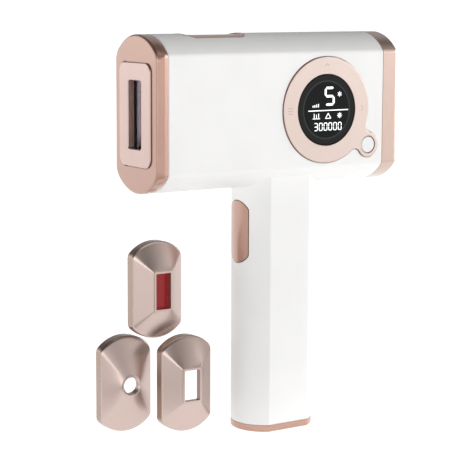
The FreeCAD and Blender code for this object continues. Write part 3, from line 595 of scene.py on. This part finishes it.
BOARD_THICKNESS = 1.6 * MM
HAIR = 0.05 * MM
board_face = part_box("control_board")[0].y + BOARD_THICKNESS + HAIR
paint_where("control_board", chip_black, lambda middle: middle.y > board_face)
handle_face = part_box("handle_board")[0].x + BOARD_THICKNESS + HAIR
paint_where("handle_board", chip_black, lambda middle: middle.x > handle_face)
paint(nickel, "board_screws")

# ------------------------------------------------------------------ flash trigger
# Bowed key in the grip, lacquered like the nose. A coil spring returns it from a click switch.

paint(rose_gold, "trigger_button")
paint(nickel, "trigger_spring")
paint(matt_black, "trigger_switch")

# ------------------------------------------------------------------ top button
# Bowed key, a little below its bevelled bezel on top of the head, with its own spring, switch and board.
# Both are die-cast and lacquered.

bezel_rose = lacquered_metal("bezel_rose", (0.56, 0.33, 0.25), (0.52, 0.30, 0.225), 0.32, 0.9)
paint(bezel_rose, "top_button_bezel")
# The key wears the same paler lacquer, with the painted reflection in its colour.
paint(sheen_painted_rose, "top_button")
paint(nickel, "top_spring")
paint(matt_black, "top_switch")

# ------------------------------------------------------------------ handle insides
# The flash capacitor stands in a moulded cradle: a can in a dark shrink sleeve with a pale stripe. Two
# leads run up beside it, and the supply jack is a moulded block with a nickel pin.


def shrink_sleeve():
    material, nodes, links, shader = new_material("dark_sleeve")
    place = nodes.new("ShaderNodeTexCoord")
    split_place = nodes.new("ShaderNodeSeparateXYZ")
    links.new(place.outputs["Object"], split_place.inputs["Vector"])
    ramp = nodes.new("ShaderNodeValToRGB")
    ramp.color_ramp.interpolation = "CONSTANT"
    ramp.color_ramp.elements[0].color = (0.012, 0.016, 0.045, 1)
    ramp.color_ramp.elements[1].color = (0.55, 0.57, 0.60, 1)
    ramp.color_ramp.elements[1].position = 0.8
    span = nodes.new("ShaderNodeMapRange")
    span.inputs["From Min"].default_value = -10.5 * MM
    span.inputs["From Max"].default_value = 10.5 * MM
    links.new(split_place.outputs["Y"], span.inputs["Value"])
    links.new(span.outputs["Result"], ramp.inputs["Fac"])
    links.new(ramp.outputs["Color"], shader.inputs["Base Color"])
    add_grain(nodes, links, shader, 700.0, 0.00003, 0.28, 0.05)
    return material


paint(shrink_sleeve(), "flash_capacitor")
can_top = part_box("flash_capacitor")[1].z - HAIR
paint_where("flash_capacitor", extruded, lambda middle: middle.z > can_top)
paint(ceramic, "capacitor_cradle")
paint(red_silicone, "supply_leads")
paint(matt_black, "dc_jack")
PIN_REACH = 1.0 * MM
paint_where("dc_jack", nickel, lambda middle: math.hypot(middle.x, middle.y) < PIN_REACH)

# ------------------------------------------------------------------ foot cap
# Turned cap with fine level brushing under rose-gold lacquer, plugged into the foot of the grip. The
# supply plug goes through the hole in its middle.

brushed_rose = lacquered_metal(
    "brushed_rose_gold", (0.52, 0.30, 0.225), (0.46, 0.26, 0.19), 0.36, 0.85, 0.6, (1, 1, 22), 0.000006
)
paint(brushed_rose, "foot_cap")

# ------------------------------------------------------------------ loose heads
# Three thin pressed heads in champagne-rose lacquer, open at the back. Each has a collar round its opening
# and a plastic frame at the back that carries two magnets. The side walls of the rim are painted darker than
# the slopes, as shade, and one head has a red filter glass on its collar.

champagne = lacquered_metal(
    "champagne_lacquer", (0.61, 0.475, 0.43), (0.60, 0.465, 0.42), 0.31, 0.9, 0.5, height=0.000004
)
RIM_FACING = 0.3
# Painted shade: the rim's side walls, which face across the front, get a darker brown lacquer.
rim_painted_shade = lacquered_metal("champagne_rim_painted_shade", (0.40, 0.28, 0.22), (0.38, 0.262, 0.205), 0.34, 0.8, 0.5)
for cover in ("round_head_cover", "clear_head_cover", "red_head_cover"):
    paint(champagne, cover)
    paint_sides(cover, rim_painted_shade, 1, RIM_FACING)
frame_plastic = plastic("warm_grey_plastic", (0.30, 0.26, 0.24), (0.26, 0.225, 0.205), 0.5, 2000.0, 0.00003)
paint(frame_plastic, "round_head_carrier", "clear_head_carrier", "red_head_carrier")
paint(nickel, "round_head_magnets", "clear_head_magnets", "red_head_magnets")
red_glass = clear_glass("red_filter", (0.33, 0.008, 0.012), 0.04, 0.75)
paint(red_glass, "red_filter_glass")
